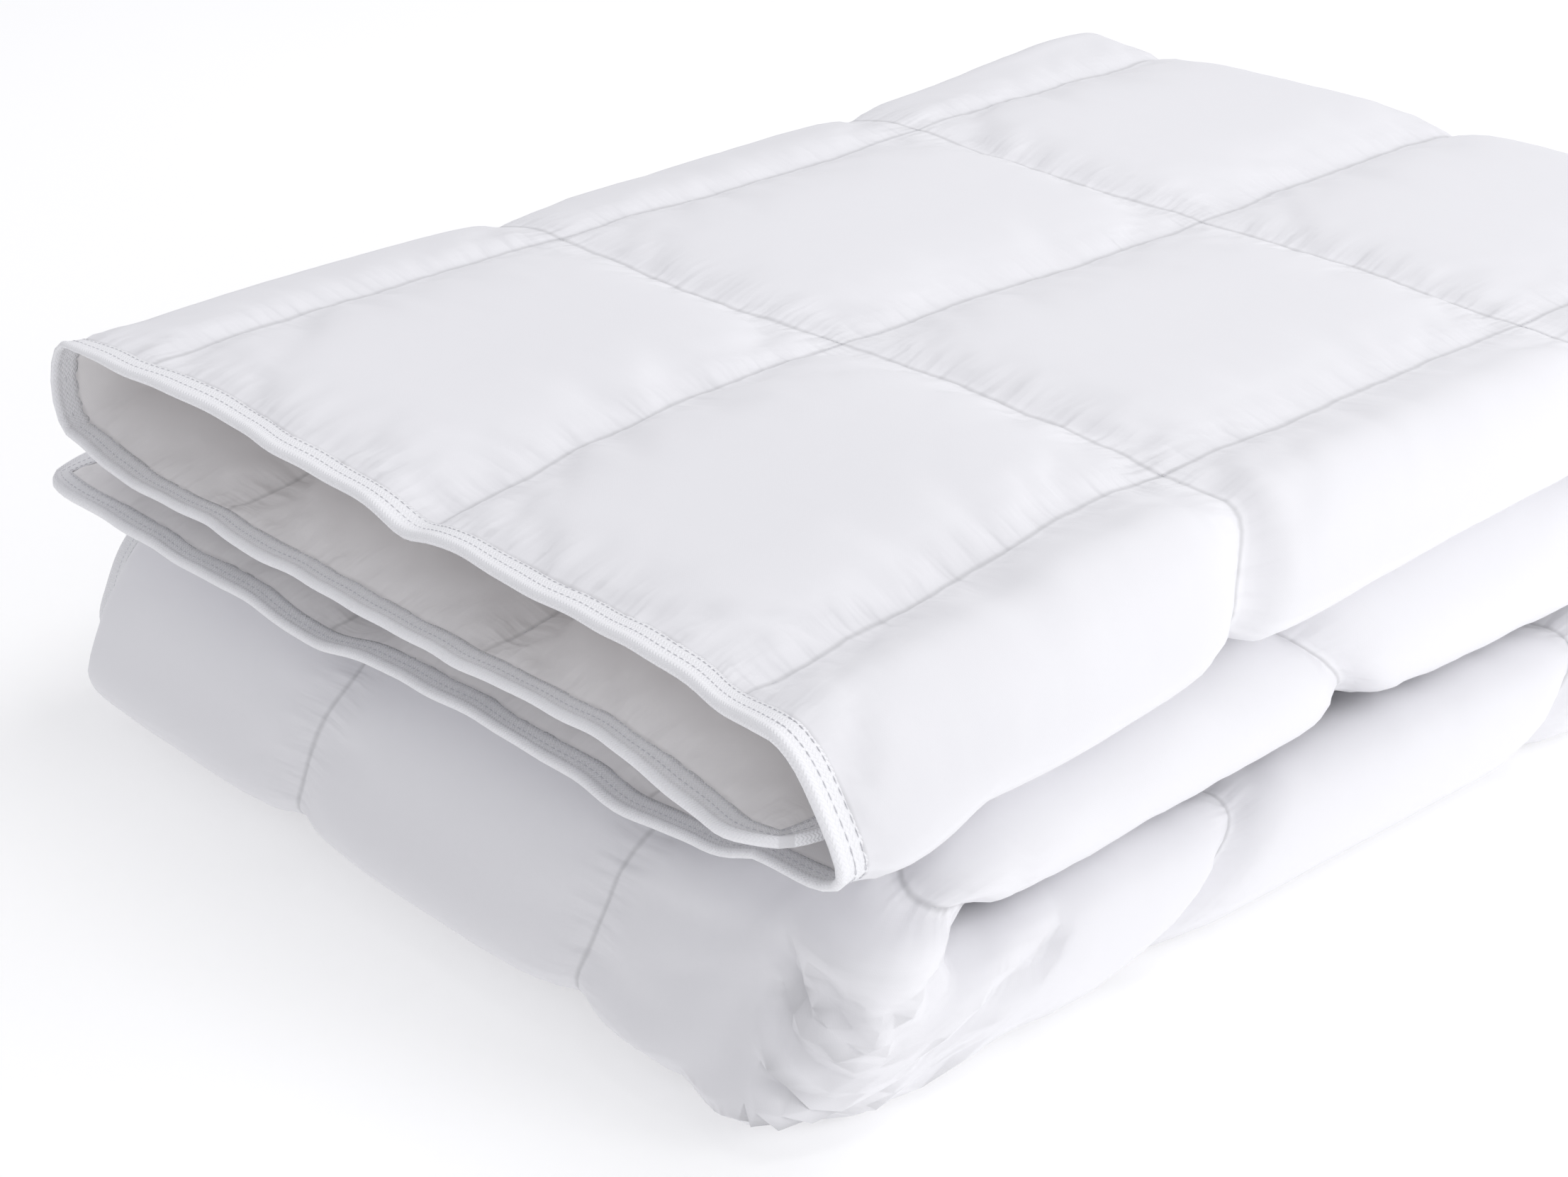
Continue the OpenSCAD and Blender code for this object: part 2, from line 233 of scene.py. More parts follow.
def place(a, b, n):
    """From the flat quilt (a across, b along, n off its middle) to the folded stack."""
    a, b, n = np.broadcast_arrays(np.asarray(a, float), np.asarray(b, float), np.asarray(n, float))
    a, b = rounded(a, b)
    inner = ease(np.minimum(np.minimum(a, WIDTH - a), np.minimum(b, LENGTH - b)) / 0.12)
    a0, b0 = a, b
    a = a + 0.9 * MM * wander_a(a0, b0) + 2.5 * MM * drift_a(a0, b0) * inner
    b = b + 0.9 * MM * wander_b(a0, b0) + 2.5 * MM * drift_b(a0, b0) * inner

    to_top = ease((a - LEFT_IN) / (LEFT_OUT - LEFT_IN))
    to_low = ease((a - RIGHT_IN) / (RIGHT_OUT - RIGHT_IN))
    low_turns = ease((a / BOX_W - 5.25) / 0.60)
    turns = {k: mix(TOP_TURNS[k], LOW_TURNS[k], low_turns) for k in TOP_TURNS}
    x, h = across(a, 0 * n)
    half = FRONT_EASE * PI / 2 * np.where(a > RIGHT_IN, STACK3 - h + CORE, LAYER / 2 + CORE)
    turns["front_in"] = turns["front_mid"] - half
    turns["front_out"] = turns["front_mid"] + half

    # deep crumples where the lower fold turns the front right corner
    corner = bump(a / BOX_W, 5.50, 0.36) * bump(b, turns["front_mid"], 0.10)
    y, z = along(b, h, turns)
    shear = 4 * low_turns * (1 - low_turns) * bump(b, 1.65, 0.13)
    valleys = np.sqrt(crease_big(0.5 * x, y, z) ** 2 + 0.01) - 0.45
    wrinkle = 5.0 * MM * valleys + 0.8 * MM * crease_small(0.6 * x, y, z) + 3 * MM
    crumple = wrinkle * np.maximum(corner, 0.7 * shear)
    crumple = crumple - creased(a, b)
    n = n * (1 - 0.3 * shear)

    # cross seams draw the rolled side in
    seam_gap = np.abs(b - BOX_L * np.rint(b / BOX_L))
    on_side = bump(a, RIGHT_IN + 0.045, 0.040)
    crumple = crumple - SEAM_PINCH * bump(seam_gap, 0, 0.011) * on_side * (b > 0.1)

    # where the lowest layer is stretched over the front fold its seams lie nearly flush
    taut = 0.45 * bump(b, FRONT_FACE, 0.10) * ease((a / BOX_W - 5.55) / 0.3)
    n = n * (1 - taut) + 11 * MM * taut
    n = n * (1 - 0.4 * bump(a / BOX_W, 2.78, 0.16))

    # the free side edge of the lowest layer is tucked in where it turns the front fold
    tuck = bump(b, FRONT_FACE, 0.11)
    n = n - EDGE_TUCK * tuck * ease((a - WIDTH + 0.032) / 0.04)
    a = a - EDGE_DRAW * tuck * ease((a - WIDTH + 0.06) / 0.07)
    x, h = across(a, n + crumple)
    y, z = along(b, h, turns)

    first = 1 - ease((b - 0.55) / 0.15)                  # the uppermost run
    roll = bump(a, 0.5 * (RIGHT_IN + RIGHT_OUT) + 0.012, 0.075)
    near = 1 - ease(y / 0.21)
    firm = 0.1 + 0.9 * ease((THIRD - x) / 0.095)
    firm = np.maximum(firm, 0.75 * (1 - ease(y / 0.12)))
    settle = SETTLE * near * firm

    # the lower two runs settle towards the front; each layer of the upper run then droops by itself
    middle = MIDDLE_TOP * (1 - settle)
    low = np.where(z < MIDDLE_TOP, z * middle / MIDDLE_TOP, z)
    edge = 1 - ease(y / 0.07)
    drop_low = -MIDDLE_TOP * settle
    drop_low = drop_low - 7 * MM * edge * (bump(x, BOX_W, 0.03) + bump(x, 2 * BOX_W, 0.03))
    drop_low = drop_low + edge * (0.008 * (1 - ease(x / 0.15)) - 0.008 * bump(x, 0.44, 0.10))
    drop_mid = -MIDDLE_DROOP * near + 0.010 * near * (1 - ease(x / 0.08))
    drop_top = -(0.001 + 0.014 * ease(x / 0.45)) * near
    seam_dip = bump(x, 4 * BOX_W - THIRD - 0.006, 0.016) + 0.5 * bump(x, 5 * BOX_W - THIRD, 0.02)
    drop_top = drop_top - 6 * MM * edge * seam_dip
    drop_top = drop_top - 14 * MM * (1 - ease((x + 0.02) / 0.08)) * ease((y + 0.03) / 0.08)
    droop = mix(mix(drop_mid, drop_top, to_top), drop_low, to_low)
    z = np.where(z < MIDDLE_TOP, low, z + first * droop)

    # the edges of the three layers don't lie over one another
    out_low = -0.014 + 0.06 * x
    out_mid = -0.003
    out_top = 0.009 - 0.012 * (1 - ease(x / 0.12))
    out = mix(mix(out_mid, out_top, to_top), out_low, to_low)
    y = y + first * (1 - ease(y / 0.3)) * out
    y = y + 0.055 * (b - 0.16) * (1 - ease((b - 0.68) / 0.2))

    # the rolled side: the upper roll leans forward, the lower two lean back, and the front corner is drawn in
    y = y - first * SIDE_LEAN * to_low * ease(y / 0.15) * roll
    y = y + (1 - first) * LOW_SIDE_LEAN * roll * ease(z / 0.06)
    x = x - first * 0.012 * roll * (1 - ease(y / 0.14))
    side = ease((x - 0.43) / 0.09)
    waist = MIDDLE_TOP - 0.014 + 0.026 * ease((y - 0.1) / 0.36)
    low_part = GROOVE * z / 0.075
    mid_part = GROOVE + (z - 0.075) * (waist - GROOVE) / (MIDDLE_TOP - 0.075)
    high_part = waist + (z - MIDDLE_TOP) * (STACK - waist) / (STACK - MIDDLE_TOP)
    z = mix(z, np.where(z < 0.075, low_part, np.where(z < MIDDLE_TOP, mid_part, high_part)), side)
    low_bulge = 0.004 * bump(z, 0.012, 0.022) * ease((x - 0.45) / 0.08)
    x = x + first * 0.018 * bump(a, RIGHT_IN + 0.060, 0.022) + low_bulge

    # the front fold hangs full and low, and the back one bulges more at the rolled side
    y = y - mix(FOOT_LEFT, FOOT_RIGHT, ease(x / 0.3)) * bump(z, 0.010, 0.034) * (1 - ease((y + 0.03) / 0.11))
    toe = bump(z, 0.0, 0.045) * ease((x - 0.47) / 0.06) * (1 - ease((y + 0.01) / 0.10))
    x = x + 0.010 * toe
    y = y - 0.008 * toe
    y = y + (0.010 * ease((x - 0.08) / 0.25) - 0.008) * ease((y - 0.5) / 0.25)
    y = BACK_LIMIT - 6 * MM * np.logaddexp(0, (BACK_LIMIT - y) / (6 * MM))

    # loose, uneven lie of the whole stack
    z = z + 0.8 * MM * swell(x, y + 0.7 * z) * ease(z / 0.1)
    x = x + 0.9 * MM * swell(y + 3.1, z * 2.0 + 0.4)
    y = y + 0.9 * MM * swell(x + 7.3, z * 2.0 + 1.9)
    z = z - PRESS
    z = MM * np.logaddexp(0, z / MM)
    return np.stack([x, y, z], -1) - ORIGIN


# ---- the puffs: blown-up boxes of cloth held along their seams --------------------------------
CELLS_W, CELLS_L = ((40, 46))
KINDS_W, KINDS_L = 3, 3


def blown_puffs():
    """A flat patch of boxes, pinned along its seams and blown up with a little spare cloth in every box."""
    nu, nv = KINDS_W * CELLS_W + 1, KINDS_L * CELLS_L + 1
    across_patch, along_patch = np.linspace(0, KINDS_W * BOX_W, nu), np.linspace(0, KINDS_L * BOX_L, nv)
    u, v = np.meshgrid(across_patch, along_patch, indexing="ij")
    rng = np.random.default_rng(5)
    rough = rng.normal(0, 0.4 * MM, u.shape)
    seam = (np.arange(nu) % CELLS_W == 0)[:, None] | (np.arange(nv) % CELLS_L == 0)[None, :]
    rough[seam] = 0
    index = np.arange(nu * nv).reshape(nu, nv)
    quads = np.stack([index[:-1, :-1], index[1:, :-1], index[1:, 1:], index[:-1, 1:]], -1).reshape(-1, 4)
    data = bpy.data.meshes.new("patch")
    data.from_pydata(np.stack([u, v, rough], -1).reshape(-1, 3).tolist(), [], quads.tolist())
    patch = bpy.data.objects.new("patch", data)
    bpy.context.scene.collection.objects.link(patch)
    pins = patch.vertex_groups.new(name="pins")
    pins.add(index[seam].tolist(), 1.0, "REPLACE")
    cloth = patch.modifiers.new("Cloth", "CLOTH")
    s = cloth.settings
    s.vertex_group_mass = "pins"
    s.pin_stiffness = 1
    s.shrink_min = -0.035
    s.use_pressure = True
    s.uniform_pressure_force = 4
    s.quality = 5
    s.mass = 0.05
    s.tension_stiffness = s.compression_stiffness = 15
    s.shear_stiffness = 5
    s.bending_stiffness = 0.05
    s.tension_damping = s.compression_damping = s.shear_damping = 5
    s.bending_damping = 0.5
    s.air_damping = 1
    s.effector_weights.gravity = 0
    cloth.collision_settings.use_collision = False
    cloth.collision_settings.use_self_collision = False
    scene = bpy.context.scene
    frames = 28
    scene.frame_start, scene.frame_end = 1, frames
    cloth.point_cache.frame_start, cloth.point_cache.frame_end = 1, frames
    for f in range(1, frames + 1):
        scene.frame_set(f)
    held = patch.evaluated_get(bpy.context.evaluated_depsgraph_get()).to_mesh()
    out = np.empty(nu * nv * 3, np.float32)
    held.vertices.foreach_get("co", out)
    out = out.reshape(nu, nv, 3).astype(float)
    out[..., 0] -= u
    out[..., 1] -= v
    scene.frame_set(1)
    bpy.data.objects.remove(patch)
    bpy.data.meshes.remove(data)
    return out


def softened(a, times):
    """Blurs a grid along both sides without moving its seams far."""
    for _ in range(times):
        p = np.pad(a, 1, mode="edge")
        a = (p[1:-1, 1:-1] * 4 + p[:-2, 1:-1] + p[2:, 1:-1] + p[1:-1, :-2] + p[1:-1, 2:]) / 8
    return a


CROWN = 11.2 * MM                   # how far a full box stands off the middle of the quilt
PUCKER_SHARE = 0.9


def shaped(puffs):
    """Splits the blown puffs into a full, flat-topped crown and the puckers on it."""
    height = puffs[..., 2]
    full = height.max()
    height = softened(height, 1)
    broad = softened(height, 9)
    pucker = height - broad
    crown = CROWN * (1 - (1 - np.clip(broad / full, 0, 1)) ** 2.4)
    u = np.arange(puffs.shape[0])[:, None] / CELLS_W
    v = np.arange(puffs.shape[1])[None, :] / CELLS_L
    to_seam = np.minimum(np.abs(u - np.rint(u)) * BOX_W, np.abs(v - np.rint(v)) * BOX_L)
    pucker = pucker * (0.3 + 0.7 * bump(to_seam, 0.006, 0.030))
    gain = PUCKER_SHARE
    return np.stack([puffs[..., 0], puffs[..., 1], np.maximum(crown + gain * pucker, 0)], -1)


puff_kinds = shaped(blown_puffs())


def side_grid(seed):
    """Offsets (across, along, height) on one side's whole grid, each box a random kind, maybe mirrored."""
    rng = np.random.default_rng(seed)
    grid = np.zeros((COLUMNS * CELLS_W + 1, ROWS * CELLS_L + 1, 3))
    for i in range(COLUMNS):
        for j in range(ROWS):
            p, q = rng.integers(KINDS_W), rng.integers(KINDS_L)
            part = puff_kinds[p * CELLS_W:(p + 1) * CELLS_W + 1, q * CELLS_L:(q + 1) * CELLS_L + 1].copy()
            if rng.random() < 0.5:
                part = part[::-1] * [-1, 1, 1]
            if rng.random() < 0.5:
                part = part[:, ::-1] * [1, -1, 1]
            fuller = rng.uniform(0.94, 1.04)
            grid[i * CELLS_W:(i + 1) * CELLS_W + 1, j * CELLS_L:(j + 1) * CELLS_L + 1] = part * [1, 1, fuller]
    return grid


# ---- meshes ----------------------------------------------------------------------------------
def piece(name, points, quads, uv=None):
    """A smooth mesh object from points and quads, with its flat coordinates as UVs where they matter."""
    data = bpy.data.meshes.new(name)
    data.vertices.add(len(points))
    data.vertices.foreach_set("co", np.asarray(points, np.float32).ravel())
    quads = np.asarray(quads, np.int32)
    data.loops.add(quads.size)
    data.loops.foreach_set("vertex_index", quads.ravel())
    data.polygons.add(len(quads))
    data.polygons.foreach_set("loop_start", np.arange(0, quads.size, 4, dtype=np.int32))
    data.polygons.foreach_set("loop_total", np.full(len(quads), 4, np.int32))
    if uv is not None:
        layer = data.uv_layers.new(name="flat")
        layer.data.foreach_set("uv", np.asarray(uv, np.float32)[quads.ravel()].ravel())
    data.update()
    data.validate()
    data.polygons.foreach_set("use_smooth", np.full(len(data.polygons), True))
    made = bpy.data.objects.new(name, data)
    bpy.context.scene.collection.objects.link(made)
    return made


def grid_quads(nu, nv, first=0, around=False, turned=False):
    index = np.arange(nu * nv).reshape(nu, nv) + first
    if around:
        index = np.concatenate([index, index[:, :1]], 1)
    q = np.stack([index[:-1, :-1], index[1:, :-1], index[1:, 1:], index[:-1, 1:]], -1).reshape(-1, 4)
    return q[:, ::-1] if turned else q


def margin_steps(cells, size):
    """Stations along one side of the cloth: two rows outside each outermost seam."""
    inside = np.linspace(0, size, cells + 1)
    return np.concatenate([[-MARGIN, -MARGIN / 2], inside, [size + MARGIN / 2, size + MARGIN]])


SKIN = 0.4 * MM                     # half the gap between the two cloths along a seam
RIPPLE_W, RIPPLE_L = 12.5 * MM, 13.5 * MM


def fabric(name, side, seed):
    grid = np.pad(side_grid(seed), ((2, 2), (2, 2), (0, 0)))
    u = margin_steps(COLUMNS * CELLS_W, WIDTH)
    v = margin_steps(ROWS * CELLS_L, LENGTH)
    a, b = np.meshgrid(u, v, indexing="ij")
    ends = np.minimum(np.minimum(a, WIDTH - a), np.minimum(b, LENGTH - b))
    gather = 0.9 * MM * bump(ends, 4 * MM, 7 * MM)
    ripple_a = np.sin(a * 2 * PI / RIPPLE_W + 2 * wander_a(a, b))
    ripple_b = np.sin(b * 2 * PI / RIPPLE_L + 2 * wander_b(a, b))
    ripple = gather * (ripple_a + ripple_b)
    ripple = np.where(ends < 0, 0, ripple) * ease(ends / 0.006)
    n = side * (SKIN + grid[..., 2] + np.abs(ripple))
    points = place(a + grid[..., 0], b + grid[..., 1], n)
    uv = np.stack([a, b], -1).reshape(-1, 2)
    return piece(name, points.reshape(-1, 3), grid_quads(len(u), len(v), turned=side < 0), uv), grid


def pillows(row, above, below):
    """The down of one row of boxes: eight soft pillows just inside the two fabrics."""
    nu, nv, inset = 24, 28, 9 * MM
    points, quads = [], []
    for column in range(COLUMNS):
        a = np.linspace(column * BOX_W + inset, (column + 1) * BOX_W - inset, nu)
        b = np.linspace(row * BOX_L + inset, (row + 1) * BOX_L - inset, nv)
        aa, bb = np.meshgrid(a, b, indexing="ij")
        iu = np.clip(np.rint(aa / BOX_W * CELLS_W).astype(int), 0, COLUMNS * CELLS_W)
        iv = np.clip(np.rint(bb / BOX_L * CELLS_L).astype(int), 0, ROWS * CELLS_L)
        bunched = bump(aa / BOX_W, BUNCH_A / BOX_W, 0.30) * bump(bb, BUNCH_B, 0.10)
        rim = np.zeros((nu, nv), bool)
        rim[[0, -1]] = True
        rim[:, [0, -1]] = True
        for side, grid in ((1, above), (-1, below)):
            low = np.min([grid[np.clip(iu + i, 0, None).clip(max=COLUMNS * CELLS_W),
                               np.clip(iv + j, 0, ROWS * CELLS_L), 2]
                          for i in (-2, 0, 2) for j in (-2, 0, 2)], axis=0)
            lift = np.where(rim, 0.0, np.maximum(0.1 * MM, low * 0.75 - 1.0 * MM))
            first = sum(len(p) for p in points)
            lift = lift * (1 - 0.6 * bunched)
            points.append(place(aa, bb, side * lift - 3 * MM * bunched).reshape(-1, 3))
            quads.append(grid_quads(nu, nv, first, turned=side < 0))
    made = piece(f"down_fill_{row + 1}", np.concatenate(points), np.concatenate(quads))
    return made


def welded(made):
    """Joins the two halves of each pillow along their common rim."""
    work = bmesh.new()
    work.from_mesh(made.data)
    bmesh.ops.remove_doubles(work, verts=work.verts, dist=1e-6)
    work.to_mesh(made.data)
    work.free()
    made.data.polygons.foreach_set("use_smooth", np.full(len(made.data.polygons), True))


def ring(out, count_w, count_l):
    """Stations round the quilt, one column of them for each distance outwards in out."""
    def stretched(c, size, o):
        low = CORNER_R - (CORNER_R - c) * (CORNER_R + o) / CORNER_R
        high = size - CORNER_R + (c - size + CORNER_R) * (CORNER_R + o) / CORNER_R
        return np.where(c < CORNER_R, low, np.where(c > size - CORNER_R, high, c))
    o = np.asarray(out)[None, :]
    cw = np.linspace(0, WIDTH, count_w, endpoint=False)[:, None]
    cl = np.linspace(0, LENGTH, count_l, endpoint=False)[:, None]
    one_w, one_l = np.ones_like(cw), np.ones_like(cl)
    a = np.concatenate([stretched(cw, WIDTH, o), (WIDTH + o) * one_l,
                        stretched(WIDTH - cw, WIDTH, o), -o * one_l])
    b = np.concatenate([-o * one_w, stretched(cl, LENGTH, o),
                        (LENGTH + o) * one_w, stretched(LENGTH - cl, LENGTH, o)])
    return a, b


def band(name, profile, count_w, count_l):
    """A closed strip round the quilt's edge whose cross-section is profile, (out, off) pairs."""
    out, off = np.array(profile).T
    a, b = ring(out, count_w, count_l)
    points = place(a, b, np.broadcast_to(off, a.shape))
    stations, count = a.shape
    index = np.arange(stations * count).reshape(stations, count)
    index = np.concatenate([index, index[:1]], 0)
    index = np.concatenate([index, index[:, :1]], 1)
    quads = np.stack([index[:-1, :-1], index[1:, :-1], index[1:, 1:], index[:-1, 1:]], -1).reshape(-1, 4)
    step = 2 * (WIDTH + LENGTH) / stations
    around = np.concatenate([[0], np.cumsum(np.hypot(np.diff(out), np.diff(off)))])
    travelled = np.arange(stations)[:, None] * step
    uv = np.stack(np.broadcast_arrays(travelled, around[None, :]), -1).reshape(-1, 2)
    return piece(name, points.reshape(-1, 3), quads, uv)


def tape_profile():
    """A folded tape: two flat legs on the fabric and a loop round the cord."""
    leg, low, thick = -1.2 * MM, 1.0 * MM, 0.5 * MM
    turn = np.radians(np.linspace(140, -140, 11))
    high = low + thick
    outer = [(leg, high), (2.5 * MM, high), (6.2 * MM, high), (8.2 * MM, high + 0.2 * MM)]
    outer += [(CORD_OUT + (CORD_R + thick) * math.cos(t), (CORD_R + thick) * math.sin(t)) for t in turn]
    outer += [(o, -n) for o, n in outer[3::-1]]
    inner = [(leg, low), (6.2 * MM, low), (8.2 * MM, low)]
    loop_r = CORD_R + 0.1 * MM
    inner += [(CORD_OUT + loop_r * math.cos(t), loop_r * math.sin(t)) for t in turn[::2]]
    inner += [(o, -n) for o, n in inner[2::-1]]
    return outer + inner[::-1]


def thread_lines(name, lines, rise):
    """Machine stitches: along each line a thin thread that dips into the cloth between stitches."""
    sides, radius = 4, 0.23 * MM
    points, quads, first = [], [], 0
    for a, b, side, level in lines:
        count = len(a)
        da, db = np.gradient(a), np.gradient(b)
        size = np.hypot(da, db) + 1e-12
        ta, tb = -db / size, da / size
        phase = np.arange(count) % 3
        lift = np.where(phase == 0, -0.35 * MM, rise)
        fat = np.where(phase == 0, 0.5, 1.0) * radius
        turn = np.arange(sides) * 2 * PI / sides + PI / 4
        aa = a[:, None] + ta[:, None] * fat[:, None] * np.cos(turn)[None, :] * 1.3
        bb = b[:, None] + tb[:, None] * fat[:, None] * np.cos(turn)[None, :] * 1.3
        nn = side * (level + lift[:, None] + fat[:, None] * np.sin(turn)[None, :])
        points.append(place(aa, bb, nn).reshape(-1, 3))
        quads.append(grid_quads(count, sides, first, around=True, turned=side < 0))
        first += count * sides
    return piece(name, np.concatenate(points), np.concatenate(quads))


def straight(start, end):
    """Three stations per stitch: the needle hole and the two shoulders of the stitch."""
    stitches = max(2, int(round((end - start) / (STITCH * 1))))
    base = np.arange(stitches)[:, None] + np.array([0.0, 0.22, 0.78])[None, :]
    return start + (end - start) * base.ravel() / stitches


def seam_lines(lengthwise):
    lines = []
    for side in (1, -1):
        if lengthwise:
            run = straight(1 * MM, LENGTH - 1 * MM)
            lines += [(0 * run + k * BOX_W, run, side, SKIN) for k in range(1, COLUMNS)]
        else:
            run = straight(1 * MM, WIDTH - 1 * MM)
            lines += [(run, 0 * run + k * BOX_L, side, SKIN) for k in range(1, ROWS)]
    return lines


def edge_lines():
    lines = []
    step = STITCH * 1 / 3
    for out in (0.4 * MM, 6.0 * MM):
        a, b = ring([out], int(WIDTH / step) // 3 * 3, int(LENGTH / step) // 3 * 3)
        for side in (1, -1):
            lines.append((np.append(a[:, 0], a[0, 0]), np.append(b[:, 0], b[0, 0]), side, 1.5 * MM))
    return lines


face, above = fabric("face_cloth", 1, 21)
back, below = fabric("back_cloth", -1, 22)
fill = [pillows(r, above, below) for r in range(ROWS)]
for part in fill:
    welded(part)
stations_w, stations_l = ((300, 400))
tape = band("edge_tape", tape_profile(), stations_w, stations_l)
cord_turn = np.radians(np.arange(0, 360, 45))
cord = band("edge_cord", [(CORD_OUT + CORD_R * math.cos(t), -CORD_R * math.sin(t)) for t in cord_turn],
            stations_w, stations_l)
edge_thread = thread_lines("edge_threads", edge_lines(), 0.12 * MM)
long_thread = thread_lines("lengthwise_threads", seam_lines(True), 0.15 * MM)
cross_thread = thread_lines("crosswise_threads", seam_lines(False), 0.15 * MM)


# ---- materials -------------------------------------------------------------------------------
class Value:
    """Wraps a shader socket so that node maths reads as ordinary expressions."""

    def __init__(self, tree, socket):
        self.tree, self.socket = tree, socket

    def _op(self, kind, *values):
        result = node(self.tree, "ShaderNodeMath", {"operation": kind}, list(values))
        return Value(self.tree, result.outputs[0])

    def __add__(self, other):
        return self._op("ADD", self, other)

    def __radd__(self, other):
        return self._op("ADD", other, self)

    def __sub__(self, other):
        return self._op("SUBTRACT", self, other)

    def __rsub__(self, other):
        return self._op("SUBTRACT", other, self)

    def __mul__(self, other):
        return self._op("MULTIPLY", self, other)

    def __rmul__(self, other):
        return self._op("MULTIPLY", other, self)

    def sine(self):
        return self._op("SINE", self)

    def size(self):
        return self._op("ABSOLUTE", self)


def node(tree, kind, settings=None, values=None):
    """Adds one node: its settings first, then the values or links of its sockets."""
    made = tree.nodes.new(kind)
    for key, value in (settings or {}).items():
        setattr(made, key, value)
    pairs = enumerate(values) if isinstance(values, list) else (values or {}).items()
    for key, value in pairs:
        if isinstance(value, Value):
            value = value.socket
        if isinstance(value, bpy.types.NodeSocket):
            tree.links.new(value, made.inputs[key])
        else:
            made.inputs[key].default_value = value
    return made


def material(name):
    made = bpy.data.materials.new(name)
    made.use_nodes = True
    tree = made.node_tree
    tree.nodes.clear()
    return made, tree


def finish_material(tree, bsdf):
    node(tree, "ShaderNodeOutputMaterial", None, {"Surface": bsdf.outputs[0]})


def flat_position(tree):
    parts = node(tree, "ShaderNodeSeparateXYZ", None,
                 [node(tree, "ShaderNodeUVMap", {"uv_map": "flat"}).outputs[0]])
    return Value(tree, parts.outputs[0]), Value(tree, parts.outputs[1])


def near_seam(position, box, reach):
    """1 on the seams of one direction and 0 further than reach from them."""
    spread = node(position.tree, "ShaderNodeMath", {"operation": "PINGPONG"}, [position * (1 / box), 0.5])
    fade = node(position.tree, "ShaderNodeMapRange", {"interpolation_type": "SMOOTHSTEP"}, {
        "Value": spread.outputs[0], "From Min": 0.0, "From Max": reach / box, "To Min": 1.0, "To Max": 0.0})
    return Value(position.tree, fade.outputs[0])


def pucker_noise(tree, a, b, scale_a, scale_b):
    at = node(tree, "ShaderNodeCombineXYZ", None, [a * scale_a, b * scale_b, 0.0]).outputs[0]
    return Value(tree, node(tree, "ShaderNodeTexNoise", {"noise_dimensions": "2D"},
                            {"Vector": at, "Scale": 1.0, "Detail": 1.5, "Roughness": 0.5}).outputs[0])


def woven_cotton(name, colour, sheen):
    """Fine down-proof cotton, gathered into short puckers along its seams, its colour darkened along the
    seams as painted shade.
    """
    made, tree = material(name)
    a, b = flat_position(tree)
    along_a = pucker_noise(tree, a, b, 16.0, 120.0) * near_seam(a, BOX_W, 0.030)
    along_b = pucker_noise(tree, a, b, 120.0, 16.0) * near_seam(b, BOX_L, 0.034)
    gathers = node(tree, "ShaderNodeBump", None, {
        "Strength": 0.85, "Distance": 2.4 * MM, "Height": along_a + along_b})
    uv = node(tree, "ShaderNodeUVMap", {"uv_map": "flat"}).outputs[0]
    mottle = Value(tree, node(tree, "ShaderNodeTexNoise", {"noise_dimensions": "2D"},
                              {"Vector": uv, "Scale": 240.0, "Detail": 3.0, "Roughness": 0.6}).outputs[0])
    # painted shade: the base colour is darkened within 2.6 mm of every seam, more where two seams cross,
    # standing for the shadow in the seam grooves
    painted_seam_shade = (near_seam(a, BOX_W, 2.6 * MM) + near_seam(b, BOX_L, 2.6 * MM)) * -0.2 + 1.0
    seam_shaded_colour = node(tree, "ShaderNodeCombineColor", None, [painted_seam_shade * c for c in colour]).outputs[0]
    weave = (a * (2 * PI / 0.0011)).sine() * (b * (2 * PI / 0.0011)).sine()
    cloth = node(tree, "ShaderNodeBump", None, {
        "Strength": 0.12, "Distance": 0.4 * MM, "Height": mottle * 0.5 + weave * 0.12,
        "Normal": gathers.outputs[0]})
    finish_material(tree, node(tree, "ShaderNodeBsdfPrincipled", None, {
        "Base Color": seam_shaded_colour, "Roughness": mottle * 0.1 + 0.52, "Sheen Weight": sheen,
        "Sheen Roughness": 0.4, "Specular IOR Level": 0.3, "Normal": cloth.outputs[0]}))
    return made


def herringbone_tape(name, colour):
    made, tree = material(name)
    a, b = flat_position(tree)
    zig = (b * (PI / 0.0024)).sine().size() * 1.6
    rib = (a * (2 * PI / 0.0017) + zig * 2.2).sine()
    normal = node(tree, "ShaderNodeBump", None, {"Strength": 0.45, "Distance": 0.25 * MM, "Height": rib})
    finish_material(tree, node(tree, "ShaderNodeBsdfPrincipled", None, {
        "Base Color": (*colour, 1.0), "Roughness": 0.7, "Sheen Weight": 0.15, "Specular IOR Level": 0.25,
        "Normal": normal.outputs[0]}))
    return made


def plain(name, colour, roughness, sheen=0.0):
    made, tree = material(name)
    finish_material(tree, node(tree, "ShaderNodeBsdfPrincipled", None, {
        "Base Color": (*colour, 1.0), "Roughness": roughness, "Sheen Weight": sheen,
        "Specular IOR Level": 0.3}))
    return made


shell = woven_cotton("shell_cotton", (0.875, 0.872, 0.895), 0.12)
# painted light: the back cloth is the same cotton, given a lighter, warmer colour so the shaded gaps between
# the layers glow warm and the open mouth reads lighter
warm_lit_lining = woven_cotton("shell_cotton_painted_warm_light", (0.945, 0.928, 0.925), 0.12)
down = plain("down", (0.88, 0.86, 0.83), 0.9, 0.3)
twill = herringbone_tape("twill_tape", (0.92, 0.92, 0.94))
cotton_cord = plain("cord_cotton", (0.85, 0.85, 0.86), 0.85)
# painted shade: the thread is coloured grey so the stitch lines read dark, as the shade in the needle holes
# and stitch grooves does
thread = plain("thread", (0.70, 0.70, 0.73), 0.5)

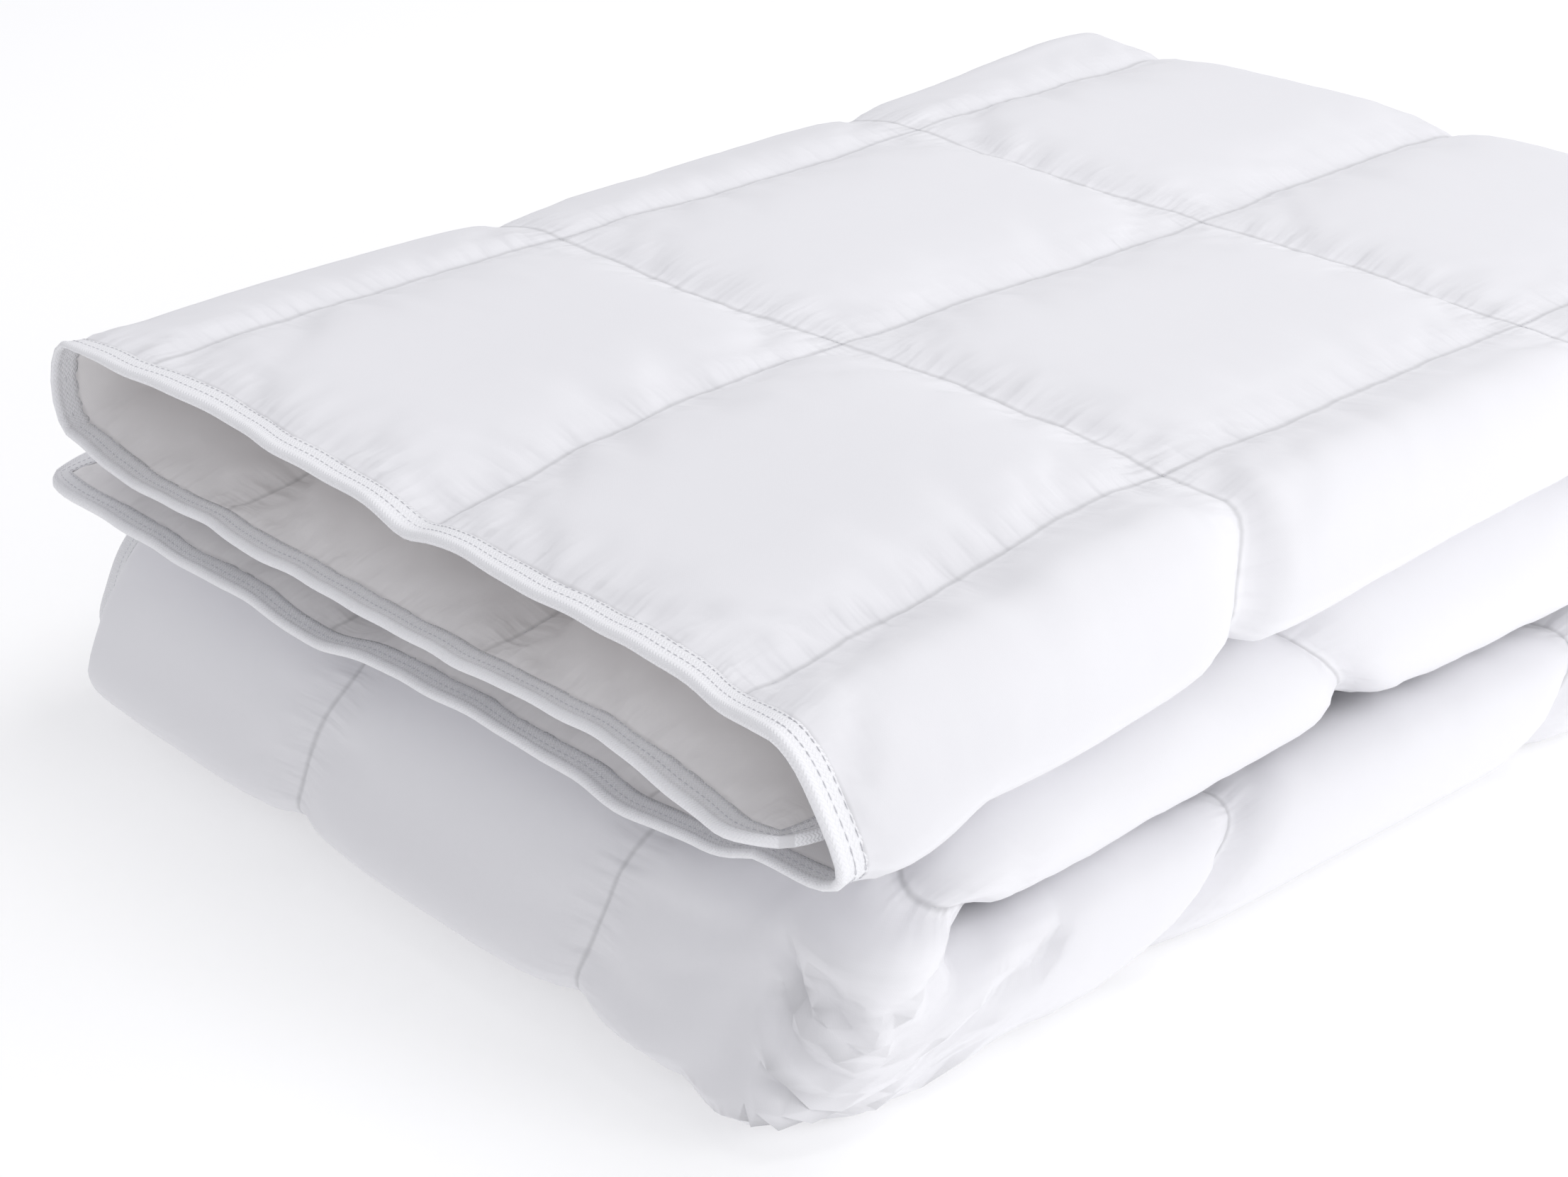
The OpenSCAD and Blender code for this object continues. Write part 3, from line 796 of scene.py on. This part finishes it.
looks = [
    (face, shell, "shell_cotton", ["face_fabric"]),
    (back, warm_lit_lining, "shell_cotton", ["back_fabric"]),
    (tape, twill, "twill_tape", ["binding_tape"]),
    (cord, cotton_cord, "cord_cotton", ["piping_cord"]),
    (edge_thread, thread, "thread", ["edge_stitching"]),
    (long_thread, thread, "thread", ["lengthwise_stitching"]),
    (cross_thread, thread, "thread", ["crosswise_stitching"]),
] + [(part, down, "down", [f"down_fill_row_{k + 1}"]) for k, part in enumerate(fill)]
for part, look, slot, stands_for in looks:
    part.data.materials.append(look)
    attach(part, "root")
    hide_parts(*stands_for)

# ---- floor, light and camera -------------------------------------------------------------------
STACK_MIDDLE = (0, 0, 0.1)
floor_mesh = bpy.data.meshes.new("floor")
floor_mesh.from_pydata([(-15, -15, 0), (15, -15, 0), (15, 15, 0), (-15, 15, 0)], [], [(0, 1, 2, 3)])
floor = bpy.data.objects.new("floor", floor_mesh)
floor.location = (0, 0, -0.0006)
bpy.context.scene.collection.objects.link(floor)
floor_look, floor_tree = material("pale_floor")
finish_material(floor_tree, node(floor_tree, "ShaderNodeBsdfPrincipled", None, {
    "Base Color": (0.9, 0.9, 0.9, 1.0), "Roughness": 0.9, "Specular IOR Level": 0.0,
    "Emission Color": (1.0, 1.0, 1.0, 1.0), "Emission Strength": 0.24}))
floor_mesh.materials.append(floor_look)


def soft_box(name, spot, size, power):
    """A large square lamp, turned to the middle of the stack."""
    lamp = bpy.data.lights.new(name, "AREA")
    lamp.shape = "RECTANGLE"
    lamp.size = lamp.size_y = size
    lamp.energy = power
    made = bpy.data.objects.new(name, lamp)
    made.location = spot
    made.rotation_euler = (Vector(STACK_MIDDLE) - Vector(spot)).to_track_quat("-Z", "Y").to_euler()
    bpy.context.scene.collection.objects.link(made)


soft_box("key", (2.2, 1.0, 0.85), 1.0, 14)
soft_box("top", (0.1, 0.6, 2.6), 1.6, 18)

# a pale studio: brighter behind the rolled side than in front of the open edges
world = bpy.data.worlds.new("studio")
world.use_nodes = True
sky = world.node_tree
sky.nodes.clear()
heading = node(sky, "ShaderNodeVectorMath", {"operation": "DOT_PRODUCT"},
               [node(sky, "ShaderNodeTexCoord").outputs["Generated"], (0.62, 0.48, 0.62)])
lit = Value(sky, heading.outputs["Value"])
glow = node(sky, "ShaderNodeMapRange", {"interpolation_type": "SMOOTHSTEP"},
            {"Value": lit, "From Min": -0.5, "From Max": 0.9, "To Min": 0.54, "To Max": 0.74})
shine = node(sky, "ShaderNodeBackground", None, {
    "Color": (0.965, 0.965, 1.0, 1.0), "Strength": glow.outputs[0]})
node(sky, "ShaderNodeOutputWorld", None, {"Surface": shine.outputs[0]})
bpy.context.scene.world = world
bpy.context.scene.view_settings.view_transform = "Standard"

azimuth, elevation, distance = math.radians(47.38), math.radians(26.06), 1.553
target = np.array([0.3897, 0.1261, 0.1541]) - ORIGIN
away = np.array([math.sin(azimuth) * math.cos(elevation), -math.cos(azimuth) * math.cos(elevation),
                 math.sin(elevation)])
lens = bpy.data.cameras.new("camera")
lens.sensor_width = 36
lens.lens = 36 * 2.143
camera = bpy.data.objects.new("camera", lens)
camera.location = target + away * distance
camera.rotation_euler = (math.pi / 2 - elevation, 0, azimuth)
bpy.context.scene.collection.objects.link(camera)
bpy.context.scene.camera = camera
